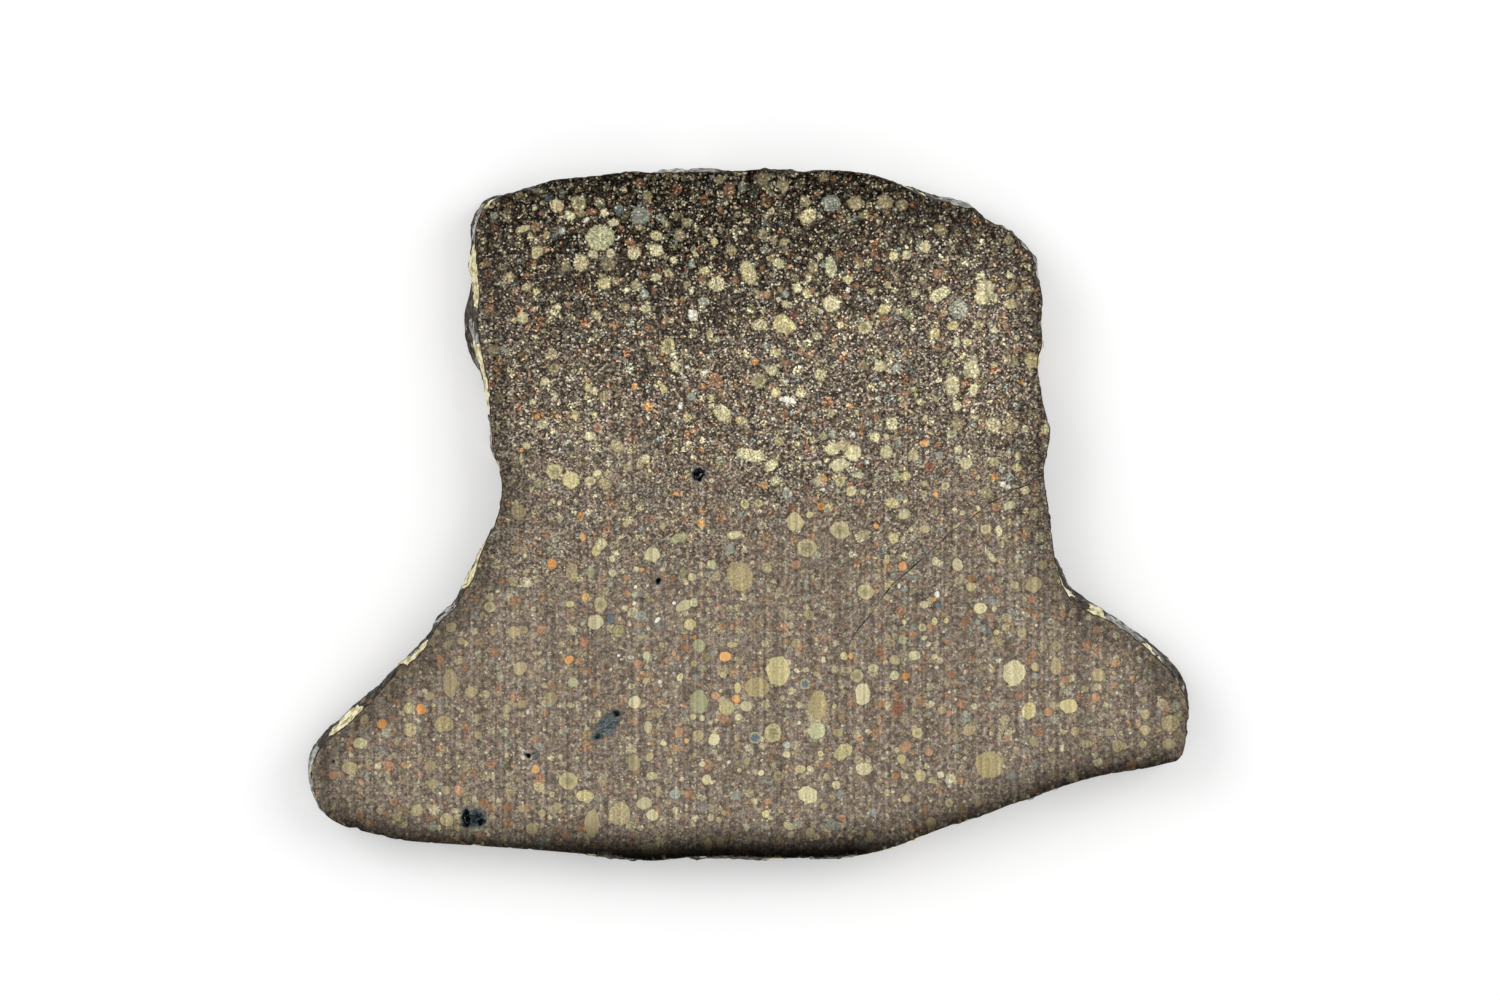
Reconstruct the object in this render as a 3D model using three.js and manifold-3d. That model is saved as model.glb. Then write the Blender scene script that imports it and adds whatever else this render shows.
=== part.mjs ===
// A slice sawn from a chondrite, a stony meteorite: one flat slab of stone, 55 mm long.
//
// Both faces are sawn flat and parallel. The rim between them is the outer skin of the
// stone, left as it was found: lumpy, leaning outwards down the left side and round the
// lower right, and leaning inwards elsewhere. A few grains have broken out of the upper
// face and left pits.
//
// Millimetres, +Z up. The slice lies on its lower face, and the origin is on that face,
// under the middle of the outline.

import * as THREE from 'three';
import { ImprovedNoise } from 'three/addons/math/ImprovedNoise.js';
import { mergeGeometries, mergeVertices } from 'three/addons/utils/BufferGeometryUtils.js';
import Module from 'manifold-3d';

// Driving dimensions.
const LENGTH = 55;            // of the upper face, from the tip of one foot to the other
const THICKNESS = 4;          // between the two sawn faces

// The outline is drawn on a grid of its own, whose y runs down the slice.
const LEFT_TIP_X = 311;
const RIGHT_TIP_X = 1189;
const GRID_ORIGIN_X = 747;    // the grid point over the origin
const GRID_ORIGIN_Y = 515;
const GRID_STEP = LENGTH / (RIGHT_TIP_X - LEFT_TIP_X);

// How finely the rim is modelled.
const RIM_POINTS = 320;       // round the outline, about 0.55 mm apart
const RIM_ROWS = 8;           // from the upper face to the lower one
const FACING_SPAN = 3;        // rim points to each side that settle which way the rim faces

// The rough skin: lumps and ledges, and finer grain on them.
const LUMP_SIZE = 4.2;
const LUMP_HEIGHT = 0.42;
const GRAIN_SIZE = 1.5;
const GRAIN_HEIGHT = 0.2;
const SHARP_EDGE = 0.9;       // the saw left the top of the rim clean for this depth

// Pits are the lower halves of squashed balls.
const PIT_SIDES = 14;
const PIT_RINGS = 8;

// The upper face's edge, anticlockwise seen from above, in grid steps:
// [x, y, how much further out the rim stands at the lower face].
const LEFT_SIDE = [
  [494, 199, 2], [487, 203, 5], [481, 212, 6], [476, 226, 6], [474, 241, 2], [476, 256, 6],
  [476, 277, 8], [479, 291, 14], [477, 318, 16], [479, 338, 13], [482, 356, 10], [486, 374, 6],
  [488, 390, 4], [490, 412, 1], [492, 442, 5], [495, 460, 4], [500, 474, 2], [502, 487, -3],
  [501, 503, -4],
];
const LEFT_FOOT = [
  [496, 520, -1], [489, 534, 1], [481, 553, 3], [470, 584, 7], [463, 591, 3], [456, 606, 4],
  [447, 615, 6], [438, 623, 5], [432, 634, 4], [428, 643, 8], [413, 661, 10], [402, 666, 5],
  [390, 680, 6], [354, 718, 10], [336, 733, 5], [325, 741, 5], [316, 755, 7], [311, 772, 8],
  [313, 790, 6], [320, 808, 2],
];
const BASE = [
  [329, 818, 0], [346, 827, -2], [370, 833, -4], [400, 840, -5], [480, 846, -6], [560, 852, -8],
  [630, 859, -3], [652, 861, -1], [692, 857.5, -1], [845, 857, -3], [888, 849, -7],
  [946, 827, -9], [980, 817, -10], [1007, 806, -10], [1035, 797, -9], [1053, 790, -8],
  [1095, 777, -6], [1148, 768, -4], [1170, 762.5, -3], [1181, 760, -3],
];
const RIGHT_FOOT = [
  [1184, 749, -3], [1188, 731, -1], [1189, 712, 1], [1186, 697, 3], [1177, 681, 8],
  [1163, 663, 9], [1148, 649, 8], [1124, 629, 5], [1106, 619, 5], [1091, 613, 7], [1078, 605, 8],
  [1066, 592, 8], [1058, 572, 7], [1054, 552, 4], [1050, 516, 2],
];
const RIGHT_SIDE = [
  [1044, 474, -1], [1047, 452, -2], [1051, 432, 0], [1048, 421, -1], [1043, 402, -4],
  [1038, 368, -5], [1038, 357, -5], [1042, 348, -6], [1043, 338, -6], [1041, 325, -6],
  [1043, 303, -6], [1040, 282, -5], [1037, 266, -4], [1031, 252, -2],
];
const CROWN = [
  [1021, 241, -1], [1008, 230, 1], [991, 222, -1], [980, 213, -2], [969, 206, 2], [950, 202, 2],
  [930, 198, 0], [903, 186, -4], [884, 178, -6], [858, 172, -7], [828, 170, -6], [802, 172, -5],
  [768, 169, -2], [735, 171, 1], [668, 172, 0], [652, 173, -2], [636, 171, -3], [608, 174, -4],
  [572, 178, -3], [552, 180, -2], [522, 190, -1], [506, 194, 0],
];

// Where grains have dropped out of the upper face. Places and half sizes are in grid steps,
// turns in degrees, depths in millimetres.
const PITS = [
  { x: 698, y: 475, halfLength: 8, halfWidth: 7, turn: 0, depth: 0.4 },
  { x: 657, y: 580, halfLength: 6, halfWidth: 4, turn: 40, depth: 0.25 },
  { x: 612, y: 719, halfLength: 13, halfWidth: 10, turn: 45, depth: 0.35 },
  { x: 598, y: 733, halfLength: 13, halfWidth: 8, turn: 48, depth: 0.3 },
  { x: 533, y: 755, halfLength: 8, halfWidth: 6, turn: 90, depth: 0.45 },
  { x: 472, y: 814, halfLength: 12, halfWidth: 8, turn: 80, depth: 0.5 },
  { x: 474, y: 822, halfLength: 11, halfWidth: 8, turn: 10, depth: 0.45 },
  { x: 333, y: 761, halfLength: 5, halfWidth: 3, turn: 60, depth: 0.25 },
];

const gridX = (x) => (x - GRID_ORIGIN_X) * GRID_STEP;
const gridY = (y) => (GRID_ORIGIN_Y - y) * GRID_STEP;
const skinNoise = new ImprovedNoise();

// The rim, all the way round: where its top edge is, which way it faces, and its lean.
// The curve carries the lean as its third coordinate, so both are smoothed together.
function rimPoints() {
  const outline = [...LEFT_SIDE, ...LEFT_FOOT, ...BASE, ...RIGHT_FOOT, ...RIGHT_SIDE, ...CROWN];
  const corners = outline.map(([x, y, lean]) => new THREE.Vector3(gridX(x), gridY(y), lean * GRID_STEP));
  const curve = new THREE.CatmullRomCurve3(corners, true, 'centripetal');
  const points = curve.getSpacedPoints(RIM_POINTS).slice(0, -1);
  return points.map((point, i) => {
    const before = points.at(i - FACING_SPAN);
    const after = points[(i + FACING_SPAN) % points.length];
    const facing = new THREE.Vector2(after.y - before.y, before.x - after.x).normalize();
    return { x: point.x, y: point.y, lean: point.z, facing };
  });
}

// How far the rough skin stands out at a place on the rim. It fades to nothing at the upper
// face, where the saw cut it off along the outline.
function skinHeight(x, y, z) {
  const lumps = LUMP_HEIGHT * skinNoise.noise(x / LUMP_SIZE, y / LUMP_SIZE, z / LUMP_SIZE);
  const grain = GRAIN_HEIGHT * skinNoise.noise(x / GRAIN_SIZE, y / GRAIN_SIZE, z / GRAIN_SIZE);
  return (lumps + grain) * THREE.MathUtils.smoothstep(THICKNESS - z, 0, SHARP_EDGE);
}

// One level line of the rim, at height z.
function rimLine(rim, z) {
  const down = 1 - z / THICKNESS;
  return rim.map(({ x, y, lean, facing }) => {
    const out = lean * down + skinHeight(x, y, z);
    return new THREE.Vector2(x + facing.x * out, y + facing.y * out);
  });
}

// The wall between the faces: a tube's grid of vertices, each moved to its place on the rim.
function rimWall(rim) {
  const wall = new THREE.CylinderGeometry(1, 1, THICKNESS, rim.length, RIM_ROWS, true);
  const vertices = wall.attributes.position;
  const columns = rim.length + 1;
  for (let row = 0; row <= RIM_ROWS; row += 1) {
    const z = THICKNESS * (1 - row / RIM_ROWS);
    const line = rimLine(rim, z);
    for (let column = 0; column < columns; column += 1) {
      const { x, y } = line[column % rim.length];
      vertices.setXYZ(row * columns + column, x, y, z);
    }
  }
  return wall;
}

// A sawn face at height z, with its front towards +Z, or towards -Z when it is turned over.
function sawnFace(rim, z, turnedOver) {
  const face = new THREE.ShapeGeometry(new THREE.Shape(rimLine(rim, z)));
  face.translate(0, 0, z);
  if (turnedOver) {
    face.index.array.reverse();
  }
  return face;
}

// A geometry whose shared vertices are merged, so that its surface is closed.
function closed(geometry) {
  geometry.deleteAttribute('normal');
  geometry.deleteAttribute('uv');
  return mergeVertices(geometry);
}

function slab() {
  const rim = rimPoints();
  const pieces = [rimWall(rim), sawnFace(rim, THICKNESS, false), sawnFace(rim, 0, true)];
  return closed(mergeGeometries(pieces));
}

function pitCutter({ x, y, halfLength, halfWidth, turn, depth }) {
  const ball = new THREE.SphereGeometry(1, PIT_SIDES, PIT_RINGS);
  ball.rotateX(Math.PI / 2);
  ball.scale(halfLength * GRID_STEP, halfWidth * GRID_STEP, depth);
  ball.rotateZ(THREE.MathUtils.degToRad(turn));
  ball.translate(gridX(x), gridY(y), THICKNESS);
  return closed(ball);
}

// Cuts the pits out of the slab with the solid modelling library, and reads the result back.
async function withPits(geometry) {
  const wasm = await Module();
  wasm.setup();
  const toSolid = (shape) => new wasm.Manifold(new wasm.Mesh({
    numProp: 3,
    vertProperties: new Float32Array(shape.attributes.position.array),
    triVerts: new Uint32Array(shape.index.array),
  }));
  let stone = toSolid(geometry);
  for (const pit of PITS) {
    stone = stone.subtract(toSolid(pitCutter(pit)));
  }
  const { vertProperties, triVerts } = stone.getMesh();
  const result = new THREE.BufferGeometry();
  result.setAttribute('position', new THREE.BufferAttribute(vertProperties, 3));
  result.setIndex(new THREE.BufferAttribute(triVerts, 1));
  result.computeVertexNormals();
  return result;
}

const stoneMaterial = new THREE.MeshStandardMaterial({
  color: 0x85796a,
  roughness: 0.55,
  metalness: 0,
});

const meteoriteSlice = new THREE.Mesh(await withPits(slab()), stoneMaterial);
meteoriteSlice.name = 'meteorite_slice';

const part = new THREE.Group();
part.add(meteoriteSlice);

export default part;
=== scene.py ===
# %% [markdown]
# # A slice sawn from a chondrite meteorite
#
# A chondrite is a stone from space, packed with small round grains called chondrules. A
# slice of one is a flat slab: two sawn faces that show the grains cut open, and between
# them a rim of the stone's own weathered skin.
#
# The plain slab comes first. It is already the right size and in the right place, so
# everything below is made on it and nothing is moved to fit.

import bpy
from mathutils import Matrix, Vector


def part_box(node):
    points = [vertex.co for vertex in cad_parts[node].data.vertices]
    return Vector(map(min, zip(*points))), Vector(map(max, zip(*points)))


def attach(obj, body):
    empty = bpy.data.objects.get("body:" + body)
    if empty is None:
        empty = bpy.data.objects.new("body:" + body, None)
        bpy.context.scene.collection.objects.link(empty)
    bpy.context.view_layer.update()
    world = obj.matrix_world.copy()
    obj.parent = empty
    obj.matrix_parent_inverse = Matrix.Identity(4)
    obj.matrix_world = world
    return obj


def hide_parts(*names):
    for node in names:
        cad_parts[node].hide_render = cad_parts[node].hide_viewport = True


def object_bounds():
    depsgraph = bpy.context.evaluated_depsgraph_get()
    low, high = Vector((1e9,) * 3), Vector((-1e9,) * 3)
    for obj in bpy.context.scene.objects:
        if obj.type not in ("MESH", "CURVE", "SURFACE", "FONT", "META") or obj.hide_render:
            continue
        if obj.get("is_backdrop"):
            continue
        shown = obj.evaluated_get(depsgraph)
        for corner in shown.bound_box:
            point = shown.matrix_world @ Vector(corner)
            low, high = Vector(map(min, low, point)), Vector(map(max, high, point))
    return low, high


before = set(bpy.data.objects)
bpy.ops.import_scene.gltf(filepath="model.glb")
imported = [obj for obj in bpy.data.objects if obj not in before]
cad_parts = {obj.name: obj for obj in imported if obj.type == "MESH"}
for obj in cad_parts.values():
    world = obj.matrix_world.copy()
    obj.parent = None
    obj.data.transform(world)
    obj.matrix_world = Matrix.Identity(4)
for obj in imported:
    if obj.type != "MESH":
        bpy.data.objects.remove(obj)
slab_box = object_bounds()

SLAB = "meteorite_slice"
MM = 0.001
low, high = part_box(SLAB)
TOP = high.z
print("slab, in mm:", [round(side / MM, 2) for side in high - low])

# %% [markdown]
# ## A chart of the face
#
# The places of grains, pits and patches of crust are easier to read on a chart than in
# metres. The chart is a grid laid over the sawn face, with x to the right and y down.
# One real length, from the tip of one foot of the slice to the tip of the other, sets the
# size of its steps.

# %% Turn chart places into metres
from mathutils import Matrix, Vector

FACE_LENGTH = 0.055
LEFT_TIP_X = 311
RIGHT_TIP_X = 1189
CHART_ORIGIN_X = 747
CHART_ORIGIN_Y = 515
STEP = FACE_LENGTH / (RIGHT_TIP_X - LEFT_TIP_X)


def on_chart(x, y, height=TOP):
    """The place of a point of the chart, in metres."""
    return Vector(((x - CHART_ORIGIN_X) * STEP, (CHART_ORIGIN_Y - y) * STEP, height))


print(f"one step of the chart is {STEP / MM:.4f} mm")

# %% [markdown]
# ## The rim
#
# The rim is the only part of the slab that the saw didn't make, so its shape is kept from
# the plain slab. The slab's two flat faces and its pits are cut away, because they are
# made again further on with much finer cells. What is left is a belt of triangles. Taking
# their diagonals out turns them into a tidy grid of four-sided faces, which a subdivision
# surface can then smooth.

# %% Cut the rim out of the plain slab
import bmesh
import bpy

TOUCH = 0.002 * MM            # nearer than this is the same place
RIM_ROW = 0.5 * MM            # between the slab's level lines
RIM_COLUMN = 0.55 * MM        # between its upright ones


def is_level(face):
    """Whether a face lies in one of the two sawn planes."""
    heights = [v.co.z for v in face.verts]
    return min(heights) > TOP - TOUCH or max(heights) < TOUCH


def largest_shell(bm):
    """The faces of the largest connected piece of a mesh."""
    unseen = set(bm.faces)
    largest = set()
    while unseen:
        found = {unseen.pop()}
        frontier = list(found)
        while frontier:
            for edge in frontier.pop().edges:
                joined = unseen.intersection(edge.link_faces)
                unseen -= joined
                found |= joined
                frontier.extend(joined)
        largest = max(largest, found, key=len)
    return largest


def is_diagonal(edge):
    """Whether an edge runs across one cell of the rim's grid."""
    start, end = (v.co for v in edge.verts)
    along = (start.xy - end.xy).length
    return abs(start.z - end.z) > RIM_ROW / 2 and along > RIM_COLUMN * 0.62


rim = bmesh.new()
rim.from_mesh(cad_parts[SLAB].data)
bmesh.ops.remove_doubles(rim, verts=rim.verts[:], dist=TOUCH)
level_faces = [f for f in rim.faces if is_level(f)]
bmesh.ops.delete(rim, geom=level_faces, context="FACES")
shell = largest_shell(rim)
bmesh.ops.delete(rim, geom=[f for f in rim.faces if f not in shell], context="FACES")
diagonals = [e for e in rim.edges if is_diagonal(e)]
bmesh.ops.dissolve_edges(rim, edges=diagonals, use_verts=False)
bmesh.ops.join_triangles(
    rim, faces=[f for f in rim.faces if len(f.verts) == 3],
    angle_face_threshold=3.1, angle_shape_threshold=3.1,
)
sides = sorted({len(f.verts) for f in rim.faces})
print(f"rim: {len(rim.faces)} faces with {sides} sides")

# %% [markdown]
# The belt is still made of flat cells half a millimetre wide. Two rounds of subdivision
# round it off. The surface is worked out once and kept as plain mesh, so that the fine
# relief can be carved into its points afterwards.

# %% Round the rim off
SUBDIVISIONS = 2


def subdivided(bm, rounds):
    """A copy of a mesh after a subdivision surface."""
    mesh = bpy.data.meshes.new("coarse")
    bm.to_mesh(mesh)
    holder = bpy.data.objects.new("coarse", mesh)
    bpy.context.scene.collection.objects.link(holder)
    surface = holder.modifiers.new("rounding", "SUBSURF")
    surface.levels = surface.render_levels = rounds
    graph = bpy.context.evaluated_depsgraph_get()
    fine = bmesh.new()
    fine.from_mesh(holder.evaluated_get(graph).to_mesh())
    bpy.data.objects.remove(holder)
    bpy.data.meshes.remove(mesh)
    return fine


stone = subdivided(rim, SUBDIVISIONS)
rim.free()
stone.normal_update()
print(f"rounded rim: {len(stone.faces)} faces")

# %% [markdown]
# ## Weathered skin
#
# The skin of an old stone is pocked and grainy. Round grains stand out of it a little,
# the softer stone between them is eaten back, and the saw has chipped the two edges where
# the skin was cut. All of it is carved into the mesh by moving points, because this
# roughness is what the outline of the rim is made of when the slab is seen from the side.

# %% Carve the skin
from mathutils import noise


def ease(value, start, end):
    """0 before start, 1 after end and a smooth step between."""
    t = min(max((value - start) / (end - start), 0), 1)
    return t * t * (3 - 2 * t)


def skin_relief(p):
    """How far the skin stands out at a place given in millimetres, in millimetres."""
    swell = 0.10 * noise.fractal(p * 0.9, 0.8, 2.1, 4)
    grain_gap = noise.voronoi(p * 1.25)[0][0]
    grains = 0.075 * (1 - ease(grain_gap, 0.1, 0.5))
    eaten = -0.09 * ease(noise.noise(p * 2.3 + Vector((7, 3, 1))), 0.22, 0.6)
    grit = 0.022 * noise.noise(p * 6.5)
    return swell + grains + eaten + grit


def edge_chips(p):
    """How far the sawn edge is broken back at a place given in millimetres."""
    nibbles = 0.05 * ease(noise.noise(p * 2.6), 0.0, 0.6)
    chips = 0.16 * ease(noise.noise(p * 0.8 + Vector((3, 9, 0))), 0.32, 0.6)
    return nibbles + chips


for vertex in stone.verts:
    place = vertex.co / MM
    depth = min(TOP - vertex.co.z, vertex.co.z) / MM
    flat_place = Vector((place.x, place.y, 0 if place.z < TOP / MM / 2 else 50))
    outward = Vector((vertex.normal.x, vertex.normal.y, 0)).normalized()
    rise = skin_relief(place) * ease(depth, 0.0, 0.5)
    loss = edge_chips(flat_place) * (1 - ease(depth, 0.0, 0.4))
    vertex.co += outward * (rise - loss) * MM
print("skin carved on", len(stone.verts), "points")

# %% [markdown]
# ## The sawn faces
#
# Each sawn face starts as one flat face that fits an open end of the belt. A narrow inset
# round it, dropped a little at the outside, gives the slightly worn edge that a saw
# leaves. The rest is cut into small square cells, like a knife run along a ruler, because
# the grains further on are laid out cell by cell. This is done in a small mesh of its own,
# since every cut takes longer in a large one.

# %% Cut the faces into cells
import math

EDGE_WEAR = 0.06 * MM
EDGE_DROP = 0.035 * MM
CELL = 0.3 * MM
STONE_FACE, STONE_SKIN = 0, 1     # the two finishes, in the order of the material slots


def border_line(bm, height):
    """The open edges of a mesh at one height."""
    return [
        e for e in bm.edges
        if e.is_boundary and all(abs(v.co.z - height) < TOUCH for v in e.verts)
    ]


def sliced(bm, faces, direction, size):
    """Cuts faces along parallel lines, the nearest line first, and returns the parts."""
    reach = [v.co.dot(direction) for face in faces for v in face.verts]
    done = []
    for line in range(math.ceil(min(reach) / size), math.ceil(max(reach) / size)):
        geometry = {part for face in faces for part in (face, *face.edges, *face.verts)}
        found = bmesh.ops.bisect_plane(
            bm, geom=list(geometry), dist=TOUCH / 20,
            plane_co=direction * size * line, plane_no=direction,
        )["geom"]
        parts = {part for part in found if isinstance(part, bmesh.types.BMFace)}
        faces = [f for f in parts if f.calc_center_median().dot(direction) > size * line]
        done += parts.difference(faces)
    return done + faces


def sawn_face(belt, height):
    """A flat face of small cells, inside a narrow border that fits the belt's edge."""
    bm = belt.copy()
    edges = set(border_line(bm, height))
    bmesh.ops.delete(bm, geom=[e for e in bm.edges if e not in edges], context="EDGES")
    face = bmesh.ops.edgeloop_fill(bm, edges=bm.edges[:])["faces"][0]
    border = bmesh.ops.inset_region(
        bm, faces=[face], thickness=EDGE_WEAR, use_boundary=True, use_even_offset=True
    )["faces"]
    for part in border:
        part.material_index = STONE_SKIN
    strips = sliced(bm, [face], Vector((1, 0, 0)), CELL)
    cells = sliced(bm, strips, Vector((0, 1, 0)), CELL)
    print(f"sawn face at {height / MM:.0f} mm: {len(cells)} cells")
    return bm


for part in stone.faces:
    part.material_index = STONE_SKIN
    part.smooth = True
upper_face = sawn_face(stone, TOP)
lower_face = sawn_face(stone, 0)

# %% [markdown]
# ## Pits
#
# Here and there a grain has dropped out of the face and left a hole. A pit could be a cut
# with a ball, as in the plain slab, but a real one is ragged. So the cells round the pits
# are divided finer and their points are pushed down, by a depth that noise makes uneven.
# Some pits overlap, so all their cells are divided together, which divides none twice. The
# points of the face's outer edge stay, because the rim has to meet them.

# %% Dig the pits
PITS = [
    # place on the chart, half length and half width in chart steps, turn, depth in mm
    (698.5, 475.5, 8, 7.5, 80, 0.42),
    (658, 581, 4.2, 3.4, 80, 0.3),
    (607, 725, 24, 12, 45, 0.1),
    (616, 714, 6, 5, 0, 0.2),
    (599, 737, 8, 5, 20, 0.18),
    (528.5, 756, 3, 3, 0, 0.3),
    (536, 755, 8, 6, 90, 0.07),
    (466.5, 819, 16, 5.5, 90, 0.3),
    (474, 819, 15, 13, 0, 0.18),
    (480, 822, 6, 5, 0, 0.28),
    (333.5, 761.5, 2.5, 2.5, 0, 0.12),
]
PIT_CUTS = 4                  # across each cell near a pit
PIT_MARGIN = 1.6              # how far past a pit's edge the cells are divided


def near_pit(place, pit):
    """Whether a place is near enough to a pit to be worth measuring."""
    x, y, half_length = pit[:3]
    return (place - on_chart(x, y)).length < 2.2 * half_length * STEP


def pit_distance(place, pit):
    """How far a place lies from a pit's middle, where 1 is the pit's ragged edge."""
    x, y, half_length, half_width, turn, _ = pit
    offset = (place - on_chart(x, y)).xy
    offset.rotate(Matrix.Rotation(-math.radians(turn), 2))
    spot = Vector((place.x, place.y, 0)) / MM
    ragged = 1 + 0.3 * noise.noise(spot * 1.6) + 0.4 * noise.noise(spot * 4.5)
    return Vector((offset.x / half_length, offset.y / half_width)).length / STEP / ragged


def is_by_a_pit(face):
    """Whether a cell is at a pit or just outside one."""
    place = face.calc_center_median()
    return any(near_pit(place, pit) and pit_distance(place, pit) < PIT_MARGIN for pit in PITS)


def dig(bm, pit):
    """Pushes the points of a pit down."""
    for vertex in bm.verts:
        if near_pit(vertex.co, pit) and not vertex.is_boundary:
            hollow = 1 - ease(pit_distance(vertex.co, pit), 0.35, 1.0)
            uneven = 1 + 0.5 * noise.noise(vertex.co / MM * 5)
            vertex.co.z = min(vertex.co.z, TOP - pit[-1] * hollow * uneven * MM)


pit_cells = [face for face in upper_face.faces if is_by_a_pit(face)]
pit_edges = {edge for cell in pit_cells for edge in cell.edges if not edge.is_boundary}
bmesh.ops.subdivide_edges(upper_face, edges=list(pit_edges), cuts=PIT_CUTS, use_grid_fill=True)
for pit in PITS:
    dig(upper_face, pit)
print(f"pits: {len(PITS)} in {len(pit_cells)} cells")

# %% [markdown]
# ## The crack
#
# A hairline crack runs in from one side. It is drawn as a chain of short lines. For each
# line the cells are sliced three times, side by side, and the points of the middle slice
# are then pushed down, which leaves a narrow groove.

# %% Open the crack
CRACK = [
    (1046, 473), (1034, 478), (1028, 485), (1013, 490), (1000, 499), (990, 503), (968, 521),
    (952, 531), (931, 551), (905, 574), (893, 584), (880, 600), (868, 618), (858, 629), (848, 646),
]
CRACK_WIDTH = 0.12 * MM
CRACK_DEPTH = 0.14 * MM


def along_line(place, start, end):
    """How far along a line a place lies, from 0 to 1, and how far to its left side."""
    line = (end - start).xy
    offset = (place - start).xy
    return offset.dot(line) / line.length_squared, line.cross(offset) / line.length


def slice_along(bm, cells, start, end):
    """Cuts the cells round one line of the crack, along it and along both its sides."""
    left = Vector((start.y - end.y, end.x - start.x, 0)).normalized()
    for side in (-CRACK_WIDTH / 2, 0, CRACK_WIDTH / 2):
        near = set()
        for cell in cells:
            share, off = along_line(cell.calc_center_median(), start, end)
            if -0.4 < share < 1.4 and abs(off) < CELL * 1.2:
                near.add(cell)
        geometry = {part for cell in near for part in (cell, *cell.edges, *cell.verts)}
        found = bmesh.ops.bisect_plane(
            bm, geom=list(geometry), dist=TOUCH / 20, plane_co=start + left * side, plane_no=left
        )["geom"]
        cells = (cells - near).union(p for p in found if isinstance(p, bmesh.types.BMFace))
    return cells


crack_line = [on_chart(x, y) for x, y in CRACK]
crack_parts = list(zip(crack_line, crack_line[1:]))
crack_cells = set()
for cell in upper_face.faces:
    share, off = along_line(cell.calc_center_median(), crack_line[0], crack_line[-1])
    if cell.material_index == STONE_FACE and -0.1 < share < 1.1 and abs(off) < 2 * MM:
        crack_cells.add(cell)
for start, end in crack_parts:
    crack_cells = slice_along(upper_face, crack_cells, start, end)
crack_depths = {}
for start, end in crack_parts:
    for vertex in upper_face.verts:
        share, off = along_line(vertex.co, start, end)
        if -0.001 < share < 1.001 and abs(off) < TOUCH / 4 and vertex.co.z > TOP - TOUCH:
            fading = 0.35 + 0.65 * ease(noise.noise(vertex.co / MM * 1.3), -0.25, 0.15)
            crack_depths[vertex] = CRACK_DEPTH * fading
for vertex, depth in crack_depths.items():
    vertex.co.z -= depth
print("crack: points pushed down", len(crack_depths))

# %% [markdown]
# Rim and faces now become one closed mesh. Their edges have the same points, so merging
# those is enough to weld them. The edge of the belt is dropped a little first, on all
# three, and the normals are turned outwards last.

# %% Weld the stone together
for bm in (stone, upper_face, lower_face):
    for height, drop in ((TOP, -EDGE_DROP), (0, EDGE_DROP)):
        for vertex in {v for edge in border_line(bm, height) for v in edge.verts}:
            vertex.co.z += drop
for bm in (upper_face, lower_face):
    mesh = bpy.data.meshes.new("sawn_face")
    bm.to_mesh(mesh)
    stone.from_mesh(mesh)
    bpy.data.meshes.remove(mesh)
    bm.free()
edge_points = [v for v in stone.verts if v.is_boundary]
outlines = [
    [v.co.xy.copy() for v in edge_points if (v.co.z > TOP / 2) == upper]
    for upper in (False, True)
]
bmesh.ops.remove_doubles(stone, verts=edge_points, dist=TOUCH)
bmesh.ops.recalc_face_normals(stone, faces=stone.faces[:])
gaps = sum(not edge.is_manifold for edge in stone.edges)
triangles = sum(len(f.verts) - 2 for f in stone.faces)
print(f"stone: {triangles} triangles, {gaps} open edges")

slice_mesh = bpy.data.meshes.new("stone_slice")
stone.to_mesh(slice_mesh)
stone.free()
stone_slice = bpy.data.objects.new("stone_slice", slice_mesh)
bpy.context.scene.collection.objects.link(stone_slice)
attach(stone_slice, "root")
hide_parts(SLAB)

# %% [markdown]
# ## Chondrules
#
# The larger grains give the slice its face. They could be modelled one by one, but sawn
# flat they are only colour, each with a crisp, uneven outline. So every cell of the face
# is told which grains reach it: where their middles are, how large and long they are, how
# they are turned, and their colours. The stone's finish then draws them from those facts,
# as sharp as any picture.
#
# Each family of grains has its colours. A grain is written as its place and radius on the
# chart, and a long one also as its shorter radius and its turn.

# %% List the grains of the upper face
GRAIN_COLOURS = {
    "straw": ["c9bf98", "cdc08e", "bfb389", "d2c99e"],
    "ringed": ["c2b68a", "b9ae86", "cabe94"],
    "hearted": ["a9a488", "b0a98c"],
    "tan": ["b5a680", "ae9f76", "bcad86", "a99b78"],
    "olive": ["a09870", "999071", "a8a07a", "918a68"],
    "sage": ["b8b68e", "aeac86", "c2c098"],
    "pearl": ["a0a294", "939688", "abad9a", "8a8d80"],
    "slate": ["68757a", "606c73"],
    "rust": ["b28a6a", "a67c5c", "bd9474", "9a7254"],
    "amber": ["dca368", "e2b074", "d29558"],
    "brick": ["a0705a", "a87a60", "8e6250"],
    "chalk": ["dcd8c4", "e6e2d0"],
}
HEARTS = {"ringed": 0.35, "hearted": 0.6}     # how much darker the middle is
CLARITY = {
    # how clearly a kind stands out near the crown, where dark specks break the grains up
    "straw": (0.85, 1), "ringed": (0.8, 1), "hearted": (0.8, 1), "tan": (0.5, 0.8),
    "olive": (0.5, 0.8), "sage": (0.75, 0.95), "pearl": (0.7, 0.95), "slate": (0.6, 0.8),
    "rust": (0.4, 0.75), "amber": (0.7, 1), "brick": (0.7, 0.9), "chalk": (0.9, 1),
}
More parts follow.
